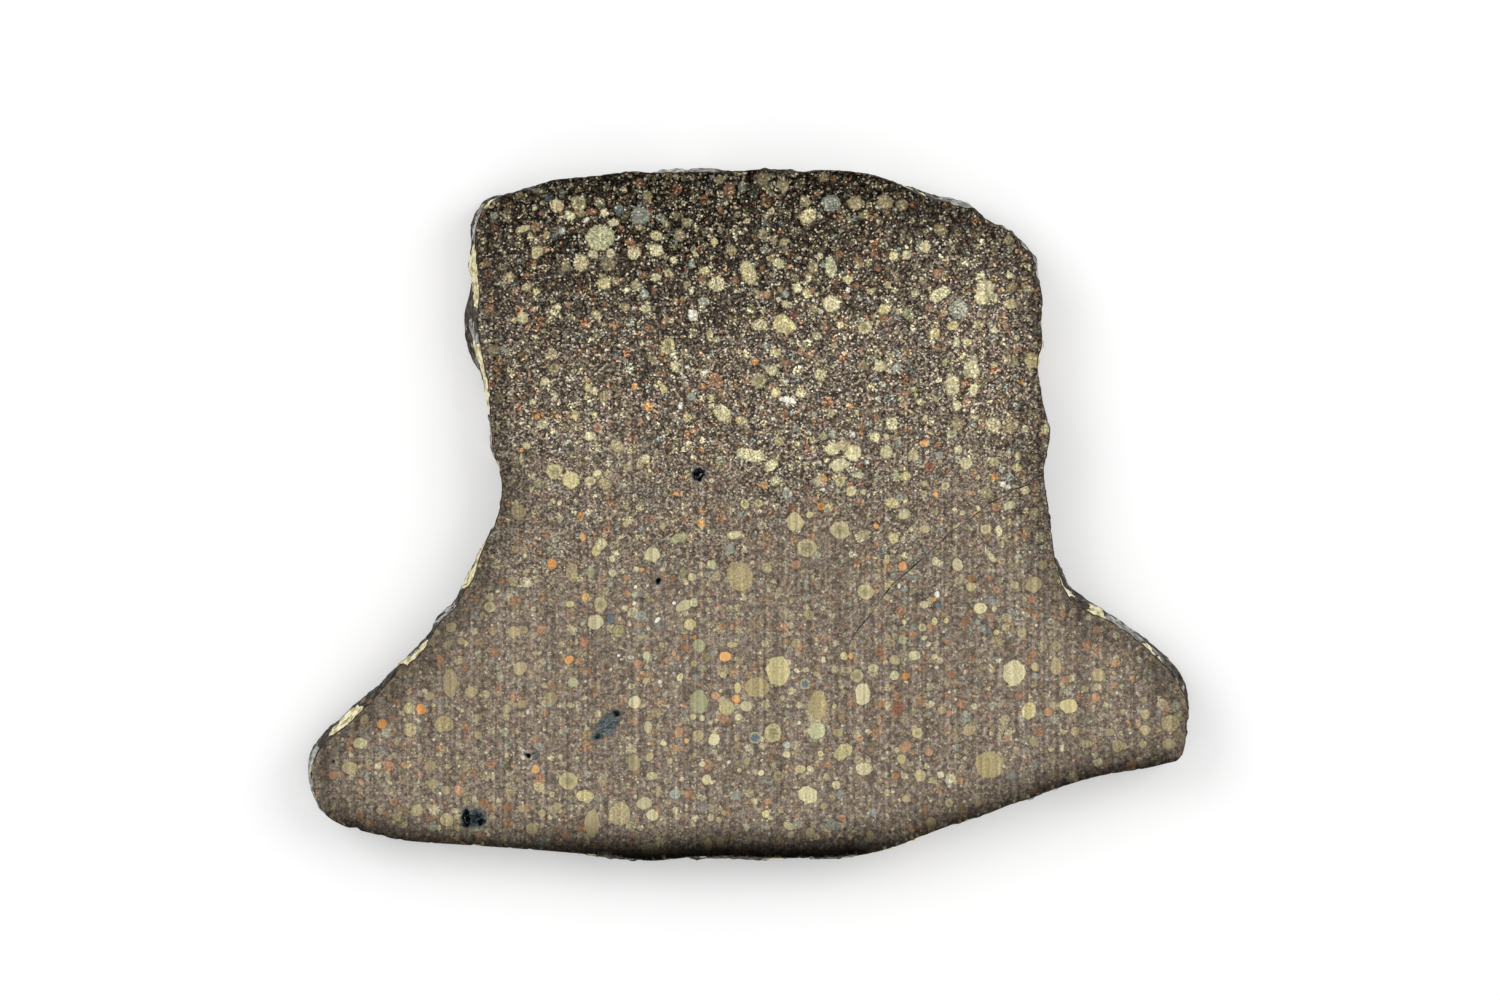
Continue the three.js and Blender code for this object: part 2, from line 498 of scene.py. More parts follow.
GRAINS = {
    "straw": [
        (557, 206, 6.5), (656.5, 250.5, 7, 6, 0), (656.5, 236, 5.5),
        (634, 253.5, 6.5, 6, 0), (537, 252.5, 7, 5, 60), (523.5, 228.5, 7.5, 3.2, 15),
        (530.5, 236.5, 2.8), (534.5, 207.5, 2.8), (613.5, 222.5, 5.5, 4, 10), (593, 254, 5, 4, 160),
        (610.5, 253.5, 4.5), (604, 213.5, 4), (624.5, 189.5, 2.5), (925, 247, 5.5), (808, 216, 8),
        (907, 255, 4.5), (714, 242, 4), (893.5, 256, 4.5), (695, 254, 2.5), (820.5, 256, 3),
        (580.5, 263, 7.5), (674, 260, 3.5), (604, 284, 6.5, 5.5, 0), (536.5, 291.5, 4, 3.2, 0),
        (717, 284, 8), (705, 270.5, 5, 4, 0), (748.5, 272.5, 12.5, 7.5, 112), (779, 263.5, 5.5),
        (558, 307, 3.2), (595.5, 314, 4.5), (645.5, 308.5, 5, 4, 0), (626, 290, 3),
        (656.5, 277, 4.5), (847.5, 279.5, 4.5), (809, 277.5, 3.5), (797.5, 288, 4.5),
        (807, 293, 4.5), (888, 285, 3.5), (871.5, 291.5, 4.5, 3, 20), (985, 290, 9), (982, 298, 7),
        (993, 297, 5), (940, 294, 12, 6, 30), (982, 275.5, 3), (1009.5, 275.5, 3),
        (1028.5, 289, 5, 4, 0), (1010, 304, 7, 5, 0), (884.5, 309, 5.5), (785.5, 304, 3.5),
        (523, 317, 5.5), (671.5, 320.5, 3), (759.5, 325, 7.5, 6, 0), (784, 324.5, 11.5, 9, 155),
        (817, 336, 4.5), (840.5, 325, 3.5), (710, 335.5, 6, 3.5, 95), (675, 366.5, 4.5),
        (772, 370, 5), (776, 351.5, 5.5, 3.5, 0), (820.5, 375, 6, 5.5, 90), (880, 366, 6),
        (972, 369, 8.5), (967, 342.5, 4), (979, 324.5, 4.5), (994.5, 330.5, 3), (1017, 337.5, 3),
        (944.5, 363, 3), (994, 365, 3), (1033, 360.5, 8), (953, 325.5, 5.5), (935, 333, 5),
        (663.5, 388.5, 4), (545, 381.5, 5, 4, 0), (588, 387.5, 5, 3.5, 150), (594, 391, 4),
        (952, 385.5, 11.5, 7.5, 85), (974, 389.5, 7, 4.5, 70), (957, 405, 4.5), (775.5, 392.5, 4.5),
        (801, 393, 5), (687, 418, 4.5), (722.5, 413.5, 8), (741, 421, 5), (711, 398, 3.5),
        (831.5, 414, 3.5), (575.5, 415, 4.5, 3.8, 90), (594.5, 415, 3.2), (590, 436, 5.5, 4.5, 0),
        (533, 402, 3.5, 2.8, 0), (542.5, 424, 5, 4.5, 0), (526.5, 445.5, 4, 3.5, 0),
        (521, 459.5, 3, 2.5, 90), (913.5, 389.5, 3), (915.5, 395, 2.5), (901.5, 399, 3),
        (937, 399, 3, 2.5, 0), (925, 418.5, 3), (892, 424, 6), (875, 437, 5), (886.5, 436.5, 3),
        (886.5, 452, 6.5), (913.5, 455, 5.5), (958.5, 449.5, 3.5), (975.5, 417.5, 3.5, 2, 160),
        (993.5, 425, 7.5), (1025, 429, 3.5), (1018, 456, 4, 2.5, 90), (1046, 429, 5.5),
        (797.5, 444, 3), (813, 440, 3), (750, 455, 15, 6, 168), (645.5, 459, 4.5),
        (833, 449, 8, 6, 20), (853, 453, 8.5, 8, 90), (839, 465, 10, 6, 10),
        (771.5, 465, 7, 5, 50), (597, 473, 4, 3.5, 0), (966, 463.5, 6.5), (1017, 467.5, 4.5),
        (922, 466.5, 3, 1.5, 0), (905.5, 476, 5.5, 4.5, 0), (775.5, 480.5, 4.5), (819, 480.5, 5),
        (924, 484, 3.5, 3, 0), (978, 477.5, 2.5), (945.5, 486, 4), (863.5, 492, 3),
        (892, 503, 7.5, 5, 165), (904.5, 514, 5.5), (809.5, 515, 3.5), (745, 504, 4.5),
        (759, 503, 4), (795, 521.5, 9), (1025, 489.5, 5), (978.5, 508.5, 3.5, 2, 120),
        (962, 513, 3), (925, 529, 5.5, 3.8, 0), (911, 529.5, 3, 2.5, 0), (998.5, 531, 5.5, 3.5, 100),
        (734, 535, 7, 4, 10), (893.5, 538, 5.5), (625.5, 524.5, 3), (663, 526, 3), (601, 544, 6),
        (596, 551, 4.5), (652.5, 554.5, 7.5), (612.5, 558.5, 3.5), (612.5, 573, 4),
        (636.5, 569, 2.8), (662.5, 569.5, 2.8, 2, 0), (692, 577, 4), (570, 604, 3.5),
        (684, 605.5, 8.5, 5, 25), (694, 602.5, 4.5), (992, 557.5, 6, 3, 135), (957.5, 564.5, 5.5),
        (935, 561, 4.5, 3, 90), (887, 559, 5, 2.5, 90), (924, 604.5, 4, 3.5, 0),
        (980.5, 608.5, 6.5, 5.5, 0), (971, 586.5, 4.5), (994.5, 608.5, 2.5), (571, 480, 8.3),
        (595.5, 622, 8), (690, 624, 6), (904.5, 622, 2.3), (934.5, 621.5, 4, 2.5, 90),
        (946.5, 620.5, 3), (922.5, 627.5, 4), (924, 638, 3.5, 2.2, 20), (996.5, 632.5, 3),
        (914.5, 655.5, 5.8, 5, 0), (934.5, 656.5, 2.8), (844, 656, 4), (778, 671, 15, 12, 90),
        (831, 303.5, 8.6), (732, 645, 5.5, 3, 0), (680, 677, 4.5, 3, 60), (645.5, 681, 3),
        (723.5, 675, 3.5), (737.5, 688, 5.5, 3.5, 90), (873, 668, 5.5, 4, 0), (894.5, 675.5, 4.5),
        (863, 694, 11, 7.5, 90), (1014, 673, 11.5), (634.5, 702, 6.5), (727, 708, 7),
        (746, 706, 6, 5, 0), (738.5, 717, 3.5), (693, 716.5, 3), (702, 718, 3), (648, 727, 6, 4, 90),
        (714, 739.5, 6, 5.5, 90), (663.5, 743.5, 3), (702, 764, 3), (739.5, 770.5, 2.5),
        (652, 776, 5.5, 4, 0), (706.5, 779.5, 5), (761, 773, 3), (834.5, 706, 2.5),
        (782.5, 698, 2.5), (843, 751.5, 10.5, 7, 42), (786.5, 754.5, 3.5), (820.5, 753.5, 3),
        (897.5, 750, 3), (901.5, 759, 4.5), (864, 769, 8, 6.5, 0), (810.5, 769.5, 4, 3, 150),
        (808, 795, 9), (836, 785, 4), (585, 796, 9, 6, 175), (1029, 711, 8),
        (1069, 706, 8), (644.5, 803, 6.5), (652.5, 815, 6), (766, 814, 4), (788.5, 826, 6, 4, 160),
        (409, 708, 5.5), (360, 743, 6.5), (417, 810, 6), (447, 820, 6.5),
    ],
    "ringed": [
        (578.5, 203, 7.5), (668.5, 273, 4), (687, 284.5, 3.5), (668, 345.5, 8, 6.8, 80),
        (759, 380.5, 7.5, 6.5, 90), (865, 327.5, 6.8), (920.5, 402.5, 3.5), (554.5, 471, 8),
        (590.5, 481, 5.5, 4.5, 0), (840.5, 481.5, 5), (851, 491, 5), (994, 462, 4.5, 4, 0),
        (924, 493.5, 3), (985.5, 529, 5.5, 4.5, 30), (840, 530, 9.5), (806.5, 548, 9.5),
        (865.5, 592, 7.5), (600.5, 604.5, 7.2), (490, 607, 5.5), (857, 676, 6.5),
        (773, 733, 9.5, 8.5, 90), (918, 733, 5), (568.5, 781, 9),
    ],
    "hearted": [(755, 737.5, 6), (805, 684, 5.5)],
    "tan": [
        (510, 277, 4.5), (514, 320, 3), (552, 354, 5), (494, 350, 6), (617, 446, 6.5),
        (554, 368, 5), (614, 387, 3), (605, 395, 6), (516, 549, 4), (524, 549, 4), (605, 484, 6),
        (608, 474, 4), (628, 467, 4.5), (640, 465, 4), (513, 581, 5), (520, 668, 6.5),
        (514, 632, 6), (523, 630, 5), (429, 696, 4.5), (410, 730, 7), (450, 683, 14, 7, 90),
        (471, 692, 6), (486, 694, 4), (430, 766, 6), (350, 768, 8, 6, 0), (478, 735, 4),
        (451, 627, 5), (461, 641, 4), (493, 631, 4), (522, 704, 4), (507, 709, 4), (364, 719, 4.5),
        (433, 784, 5.5), (446, 790, 4.5), (397, 817, 4), (380, 811, 4), (404, 825, 3.5),
        (457, 828, 3.5), (539, 787, 5.5), (667, 781, 3), (719, 820, 3), (724, 813, 3),
        (708, 845, 7, 4, 90), (720, 842, 6, 4, 90), (779, 840, 5, 3, 90), (676, 853, 4),
        (557, 806, 4), (542, 813, 4), (532, 829, 6), (920, 776, 6), (989, 765, 14),
        (931, 824, 7, 5, 90), (810, 833, 5), (870, 836, 6, 4, 90), (800, 769, 5.5, 4, 0),
        (824, 806, 3.5), (949, 803, 4), (978, 803, 3.5), (906, 799, 4), (1034, 741, 5),
        (740, 577, 14), (757, 687, 12, 10, 0), (592, 823.5, 14, 7.5, 90), (619.5, 814, 11),
        (818, 705, 14, 9.5, 90), (572, 572.5, 9.5, 6, 95), (444, 724, 9), (518.5, 512, 7.5),
        (1099, 675, 6.5), (1034, 585, 8), (1022, 633, 5.5),
        (1170, 723, 9), (1145, 730, 5), (1144, 700, 3.5), (1056, 666, 9, 5, 90), (1035, 667, 4.5),
        (1075, 731, 4.5), (1014, 585, 4), (1056, 646, 5), (1007, 618, 5), (1006, 627, 4),
        (1086, 744, 6, 4, 0), (1118, 746, 6), (1169, 744, 6), (1143, 744, 4), (1110, 732, 4),
        (1145, 714, 5), (1005, 720, 5), (1042, 565, 5), (1011, 425, 8), (1037, 421, 4),
        (1027, 531, 4), (885, 202, 7.5), (902, 205, 6), (1011, 288, 5), (940, 230, 6),
        (1009, 240, 5), (719, 180, 5), (763, 179, 6.5), (783, 185, 6), (805, 202, 5), (855, 203, 7),
        (763, 235, 4.5), (773, 240, 4), (783, 242, 4), (680, 235, 6), (732, 251, 5),
        (666, 224, 3.5), (687, 223, 4.5), (824, 177, 5), (717, 576, 4), (809, 615, 5),
        (550, 699, 7), (969, 730, 6), (942, 710, 4), (580.5, 213.5, 4.5, 3.5, 0), (546.5, 235, 3.5),
        (639, 227.5, 4, 3, 170), (526.5, 287, 4.5), (566, 265, 4.5), (603, 277, 4, 3, 0),
        (625, 307, 5), (758.5, 294.5, 4), (770.5, 259, 3.5), (813.5, 307, 3.5), (834.5, 345.5, 3.5),
        (874, 356.5, 3.5), (898, 312, 3), (923.5, 281, 3.5), (653.5, 361, 5, 3.5, 140),
        (708, 360.5, 4, 2.5, 0), (864, 365.5, 5), (957, 424, 7, 6, 90), (779, 441.5, 4.5),
        (848, 419.5, 3), (577, 427.5, 4), (564.5, 427.5, 4.5), (1007.5, 454.5, 3.5, 2.5, 0),
        (776, 459, 3.5), (767, 568.5, 5), (662, 645, 3), (694, 663.5, 3.5), (656.5, 713, 5),
        (698, 736, 6), (649.5, 757, 4), (694.5, 755, 2.5), (670, 761, 3), (747, 761, 3.5),
        (796, 643.5, 5), (891.5, 643, 4), (895, 660, 5), (846, 670, 5.5, 3, 0),
        (817, 674.5, 4.5, 2.5, 160), (844, 692, 3), (838, 733, 4.5), (778.5, 776, 5),
        (634, 763, 9, 6, 90), (888, 637, 3), (936, 513, 3), (843, 446, 8, 5, 0), (1013, 362, 5),
        (813, 267, 6),
    ],
    "olive": [
        (519, 195, 4), (506, 214, 4), (608, 264.5, 7), (1085, 689, 3.5),
        (863, 215, 5, 3, 0), (650, 850, 8), (647, 196, 4.5), (804.5, 346.5, 4),
        (683, 572.5, 5.2, 3, 90), (618.5, 631, 6), (986.5, 492.5, 5.8),
        (1034.5, 513, 5.5), (1031, 413, 4), (538.5, 483, 5.5), (499.5, 398, 5), (636, 285, 5),
        (539, 191, 6.5, 3, 0), (707, 657, 4), (864, 534.5, 5),
        (693, 332.5, 4), (1032, 457, 4.5, 3, 150),
    ],
    "sage": [
        (600, 238, 14.5, 12.5, 0), (570, 215.5, 5), (698.5, 702, 12, 9, 90),
        (699, 645.5, 6.3), (646.5, 655.5, 4), (573, 682, 5), (591, 572, 6, 4, 90),
        (678.5, 538, 8.5, 4.5, 20), (830.5, 267, 10.5, 5.5, 95), (952, 434, 4.5),
        (1009.5, 505.5, 5.5, 4, 10), (817, 731, 8.5, 8, 0), (712, 564.5, 4.5), (823.5, 436, 4),
        (915.5, 292.5, 4), (957, 342, 4.5, 3.5, 90), (896, 475.5, 3.5), (902.5, 640, 5, 3.8, 90),
        (635, 594.5, 3), (908, 314, 5.5), (716, 339.5, 3.5), (859, 475, 5, 3, 0),
    ],
    "pearl": [
        (640, 216, 9.7, 8.5, 0), (504, 350, 4), (831, 203, 9),
        (959.5, 309, 9.5, 8.5, 90), (675, 794, 5.5), (736, 796, 4.5), (833, 825, 8, 5, 0),
        (862, 846, 5), (1051, 621, 3), (640.5, 616, 6, 5, 0), (787, 493.5, 5), (730, 549, 5),
        (742, 188, 4.5), (562, 193, 4, 2.8, 90), (494, 216, 4), (712, 790, 2.5),
        (691.5, 264.5, 4.5, 3.5, 90), (704, 301.5, 6, 4, 0), (765.5, 345.5, 3.5),
        (896.5, 368, 4.5), (814, 414, 3), (796, 428.5, 4), (832.5, 434, 4), (898.5, 443.5, 3.5),
        (940, 455.5, 4), (899.5, 497.5, 3.5), (691, 397, 4.5), (740, 515, 3), (576.5, 296.5, 3),
        (644.5, 294, 4.5), (562, 231, 3.5), (561, 272, 3.5, 2, 135), (640, 594.5, 2.8),
        (610, 584, 3), (914.5, 577, 5, 1.8, 0), (893.5, 575, 2.8), (977.5, 622.5, 2.8),
        (695.5, 677.5, 3.5), (787, 745, 3.5), (785.5, 294, 3.5), (1018, 406, 3),
    ],
    "slate": [
        (618.5, 210.5, 3.5), (548, 198, 3.5), (938, 605.5, 3), (987.5, 631, 3), (611, 618.5, 4),
        (755, 738, 4), (805, 684, 3),
    ],
    "rust": [
        (638.5, 183, 4.5), (729, 190, 6.5), (535, 226.5, 4.5), (546, 249.5, 3), (489, 309, 4.5),
        (487, 262, 4), (597.5, 427.5, 4.5), (547, 537, 3), (627, 594, 4, 2.8, 90),
        (502, 581, 3), (514, 600, 3), (494, 652, 4), (440, 659, 4),
        (466, 590, 3), (513, 698, 3.5), (459, 790, 5), (394, 802, 3.5), (386, 814, 3),
        (472, 773, 3.5), (508, 807, 4.5), (484, 802, 4), (361, 782, 3), (333, 775, 4),
        (360, 815, 4), (404, 765, 3), (566, 836, 4), (768, 801.5, 3.5), (541.5, 213.5, 2.5),
        (567.5, 305, 2.5), (604.5, 304.5, 2.5), (524, 398, 3), (858, 259, 4), (766, 295, 4.5),
        (812.5, 290.5, 3), (825.5, 326.5, 4), (778.5, 413, 3.5), (702, 280, 5, 4.5, 90),
        (639, 664, 4.5),
        (926, 809, 3.5), (929, 752, 4), (895, 776.5, 4), (1007, 738, 3), (1116, 663, 4),
        (1033, 654, 4), (1066, 679, 4), (1096, 697, 4), (1048, 712, 4.5), (1030, 611, 3),
        (1032, 600, 3), (1063, 614, 3.5), (1167, 708, 3.5), (996.5, 507, 4.8), (996.5, 589.5, 3.5),
        (1034.5, 488, 4.5), (966, 402, 5, 4, 90), (937.5, 274, 4.5), (929, 307.5, 3.5),
        (942, 314.5, 3.5), (907, 352.5, 4), (1018, 349, 3.5), (1005.5, 326, 3.5), (957, 235, 2.5),
        (839, 254, 4), (809.5, 354.5, 4), (726, 465, 3), (796, 564.5, 4.5), (684.5, 648, 4),
        (677.5, 658, 3), (674, 653.5, 2.5), (732, 627, 3), (723, 626, 3), (879, 652, 3.8),
        (882, 704, 3.5), (951, 675, 4), (643, 275, 4), (658, 270, 2.5), (654, 290.5, 4, 2, 90),
        (682, 301, 3.5), (691, 305, 2), (666.5, 320, 5, 2.5, 90), (649, 328.5, 3.5),
        (654, 346.5, 3), (663, 374, 3.5), (658, 372, 2.5), (735.5, 280, 3.5), (746, 380.5, 3),
        (862.5, 262, 3), (878, 268, 3), (835, 282.5, 3), (856, 285.5, 4, 2.5, 0), (846, 295.5, 3.5),
        (787, 363, 5, 3, 0), (785, 413.5, 4), (861, 427, 4), (876, 418, 3.5), (907.5, 429, 5, 2.5, 10),
        (906, 394, 3.5), (905, 405.5, 4), (982.5, 416.5, 3), (977.5, 426, 2.5), (982.5, 425, 3),
        (938, 444.5, 3), (1023, 474, 3.5), (806.5, 488, 3), (880, 513.5, 2.5), (634, 558, 2.8),
        (626, 578, 2.5), (673.5, 578, 3, 2, 90), (603, 577, 3, 1.5, 0), (630.5, 605, 2.2),
        (685.5, 637.5, 3), (971, 578.5, 4), (990, 578.5, 3), (965.5, 621, 4), (946.5, 641.5, 2.8, 2, 0),
        (867, 558, 4, 2, 20), (656, 689.5, 2.5), (716, 696, 4.5), (654.5, 731.5, 2.5),
        (679, 732, 4.5), (653.5, 744, 2.5), (675, 748, 3), (905, 747, 6), (657, 470, 3),
        (618.5, 280, 3.5), (629.5, 241.5, 5, 3, 0), (1002.5, 315, 3), (884, 319, 4),
    ],
    "amber": [
        (648, 406.5, 5), (701.5, 523, 4.5), (552, 564, 5), (537.5, 416.5, 3.5, 2.8, 20),
        (542, 414.5, 1.8), (634.5, 386, 3.2), (580.5, 516, 4, 3, 90), (583, 537, 3.8, 3, 100),
        (585.5, 597, 4, 3.2, 60), (755, 361.5, 3.5), (704, 386, 3), (421, 709, 5), (382, 724, 5),
        (535.5, 769, 4), (850.5, 406, 2.5),
        (861.5, 433, 2), (924, 443.5, 4.5, 3.5, 0), (995, 477, 3), (821, 506.5, 4),
        (824.5, 479, 4, 3, 90), (701, 449, 2.5), (676, 493.5, 2.5), (765, 485, 4), (569, 659.5, 4.3),
        (725, 656.5, 6, 5, 0), (736, 699, 4), (686.5, 740.5, 2.5), (851, 656, 2.8),
        (903, 566.5, 4.2), (905.5, 676, 4), (936.5, 490.5, 2), (935.5, 494.5, 2.5), (934, 599.5, 2.5),
        (642, 569.5, 2.2), (521.5, 450, 2.2), (876, 526, 2.8), (976, 514, 2.5), (1021.5, 382.5, 2.5),
        (694.5, 637.5, 2),
    ],
    "brick": [
        (716, 380, 7.5, 6.3, 120), (898.5, 708, 7, 5.5, 20), (794, 315.5, 4.5), (874.5, 255, 4),
        (762.5, 268.5, 2.5), (929, 467.5, 4.5), (592, 212, 5, 3, 0),
    ],
    "chalk": [
        (693, 315, 5.5), (523.5, 752, 2.8, 2.2, 120), (523, 757.5, 2.4),
        (788, 400, 8, 3, 170), (680, 406, 3), (586, 220, 3, 2, 30), (848, 290, 2.3),
        (778.5, 299.5, 2.5), (821, 311.5, 2.5), (786, 381.5, 2.5), (883.5, 384.5, 2.5),
        (853.5, 434, 2.5), (878, 398, 2), (866.5, 462, 2), (823, 489.5, 2.3), (868.5, 495, 1.6),
        (1003, 484.5, 3), (1007.5, 487, 2.5), (725, 349.5, 2), (687.5, 367, 2), (676.5, 358, 2),
        (705, 372, 3), (635.5, 587, 1.8), (634, 603.5, 1.8), (657.5, 620, 3.5, 1.8, 45),
        (674, 603, 1.8), (631, 657.5, 3, 2, 0), (618.5, 655.5, 1.5), (937, 594.5, 3.2, 2.8, 90),
        (899, 586, 2.5, 1.5, 90), (660, 681.5, 2), (729, 762, 2), (799, 723, 2), (533, 443, 1.5),
        (633.5, 307.5, 1.8),
    ],
}
upper_grains = [(kind, *grain) for kind, grains in GRAINS.items() for grain in grains]
print("grains on the upper face:", len(upper_grains))

# %% [markdown]
# Each grain now gets a colour of its own out of its family, a turn and a faint texture.
# Its two axes are kept as arrows, one along it and one across, each divided by the grain's
# radius that way. Measuring a place with the two arrows then tells whether it is inside.
#
# The lower face has other grains than the upper one, since grains are far smaller than
# the slice is thick. Its grains are strewn by lot, with the same kinds and sizes.

# %% Fill out each grain's facts
import random

import numpy as np

chance = random.Random(41)
mesh_cells = slice_mesh.polygons
centres = np.empty(len(mesh_cells) * 3)
mesh_cells.foreach_get("center", centres)
centres = centres.reshape(-1, 3) / MM
finishes = np.empty(len(mesh_cells), dtype=int)
mesh_cells.foreach_get("material_index", finishes)
upper_cells = np.flatnonzero((finishes == STONE_FACE) & (centres[:, 2] > TOP / MM / 2))
lower_cells = np.flatnonzero((finishes == STONE_FACE) & (centres[:, 2] < TOP / MM / 2))


def linear(hex_colour):
    """A screen colour as the linear values that a finish works in."""
    screen = [int(hex_colour[i:i + 2], 16) / 255 for i in (0, 2, 4)]
    return [v / 12.92 if v < 0.04045 else ((v + 0.055) / 1.055) ** 2.4 for v in screen]


def grain_facts(kind, x, y, length, width=None, turn=0):
    """A grain's place and clarity, its two axes, and its colour with its texture last."""
    half_length, half_width = length * STEP / MM, (width or length) * STEP / MM
    if width is None:
        half_length *= chance.uniform(1.0, 1.12)
        half_width *= chance.uniform(0.88, 1.0)
        turn = chance.uniform(0, 180)
    place = on_chart(x, y) / MM
    along = Vector((math.cos(math.radians(turn)), math.sin(math.radians(turn))))
    core = HEARTS.get(kind, 0.4 if length < 6 and chance.random() < 0.1 else 0)
    tone = chance.uniform(0.9, 1.1)
    colour = [value * tone for value in linear(chance.choice(GRAIN_COLOURS[kind]))]
    return [
        (place.x, place.y, chance.uniform(*CLARITY[kind])),
        (along.x / half_length, along.y / half_length, (half_length + half_width) / 2),
        (-along.y / half_width, along.x / half_width, core),
        (*colour, chance.choice([0.2, 0.35, 0.6])),
    ]


def strewn(grains):
    """As many grains of the same kinds and sizes, in places drawn by lot."""
    made, taken = [], []
    for kind, _, _, *size in grains:
        reach = size[0] * STEP / MM
        for _ in range(60):
            spot = centres[chance.choice(lower_cells)]
            if all(math.dist(spot[:2], other) > reach + gap for *other, gap in taken):
                break
        taken.append((spot[0], spot[1], reach))
        x, y = CHART_ORIGIN_X + spot[0] * MM / STEP, CHART_ORIGIN_Y - spot[1] * MM / STEP
        made.append((kind, x, y, *size))
    return made


upper_facts = [grain_facts(*grain) for grain in upper_grains]
lower_facts = [grain_facts(*grain) for grain in strewn(upper_grains)]
print("grains above and below:", len(upper_facts), len(lower_facts))

# %% [markdown]
# A cell is told of three grains at most. The slots are always filled in the order of the
# list, so where two grains touch the same one lies on top in every cell.

# %% Tell each cell which grains reach it
SLOTS = 3
NEAR = 0.32                   # mm from a grain's edge to the middle of a cell it can reach
NO_GRAIN = [(999, 999, 0), (1, 0, 1), (0, 1, 0), (0, 0, 0, 0)]
facts = [*upper_facts, *lower_facts, NO_GRAIN]     # so number -1 is no grain


def reaching_grains(cells, numbers):
    """For each cell the numbers of the grains that come nearest to it, and -1 for none."""
    spots = centres[cells, :2]
    gaps = np.full((len(cells), SLOTS + 1), NEAR)
    found = np.full((len(cells), SLOTS + 1), -1)
    for number in numbers:
        place, along, across, _ = (np.array(fact) for fact in facts[number])
        offset = spots - place[:2]
        gap = (np.hypot(offset @ along[:2], offset @ across[:2]) - 1) * along[2]
        closer = gap < gaps[:, -1]
        gaps[closer, -1] = gap[closer]
        found[closer, -1] = number
        order = np.argsort(gaps, axis=1)
        gaps = np.take_along_axis(gaps, order, axis=1)
        found = np.take_along_axis(found, order, axis=1)
    print("cells with a grain too many:", int((gaps[:, -1] < 0.15).sum()))
    return np.sort(found[:, :SLOTS], axis=1)


def tell(name, kind, values, domain="FACE"):
    """Writes one value for each cell or point into the mesh, under a name."""
    field = {"FLOAT": "value", "FLOAT_VECTOR": "vector", "FLOAT_COLOR": "color"}[kind]
    layer = slice_mesh.attributes.new(name, kind, domain)
    layer.data.foreach_set(field, np.asarray(values, dtype=np.float32).ravel())


cell_grains = np.full((len(mesh_cells), SLOTS), -1)
cell_grains[upper_cells] = reaching_grains(upper_cells, range(len(upper_facts)))
cell_grains[lower_cells] = reaching_grains(lower_cells, range(len(upper_facts), len(facts) - 1))
for place, name in enumerate(("place", "along", "across", "colour")):
    values = np.array([grain[place] for grain in facts])
    for slot in range(SLOTS):
        kind = "FLOAT_COLOR" if name == "colour" else "FLOAT_VECTOR"
        tell(f"grain_{name}_{slot}", kind, values[cell_grains[:, slot]])

# %% [markdown]
# ## The dark border
#
# Weather has soaked in from outside and darkened a band of stone round the whole face,
# most of all along the base. A shadow painted by hand would do, but the darkness follows
# the distance from the outline so well that it is worked out from that, point by point.

# %% Tell each point how dark its border is
from mathutils import kdtree

BORDER_DEPTHS = [0, 0.37, 0.65, 1.1, 1.85, 2.5]      # mm in from the outline
BORDER_TONES = [0.6, 0.6, 0.62, 0.74, 0.92, 1]
BASE_TONES = [0.06, 0.2, 0.42, 0.64, 0.86, 1]
MID_BASE_TONES = [0.005, 0.015, 0.07, 0.3, 0.7, 1]


def outline_tree(points):
    """A fast way to find the nearest point of an outline."""
    tree = kdtree.KDTree(len(points))
    for number, (x, y) in enumerate(points):
        tree.insert((x, y, 0), number)
    tree.balance()
    return tree


def border_tone(place, tree):
    """How much of its brightness the stone keeps at a place."""
    nearest, _, distance = tree.find((place.x, place.y, 0))
    depth = distance / MM
    if depth > BORDER_DEPTHS[-1]:
        return 1
    usual, base, middle = (
        np.interp(depth, BORDER_DEPTHS, tones)
        for tones in (BORDER_TONES, BASE_TONES, MID_BASE_TONES)
    )
    chart_x = CHART_ORIGIN_X + place.x / STEP
    in_middle = ease(chart_x, 480, 640) * (1 - ease(chart_x, 850, 910))
    on_base = ease((place.y - nearest.y) / max(distance, TOUCH), 0.55, 0.9)
    if place.y > 0:
        on_base = 0
    return usual + on_base * (base + in_middle * (middle - base) - usual)


trees = [outline_tree(points) for points in outlines]
tones = [border_tone(v.co, trees[v.co.z > TOP / 2]) for v in slice_mesh.vertices]
tell("border_tone", "FLOAT", tones, "POINT")
print("points in the dark border:", sum(tone < 1 for tone in tones))
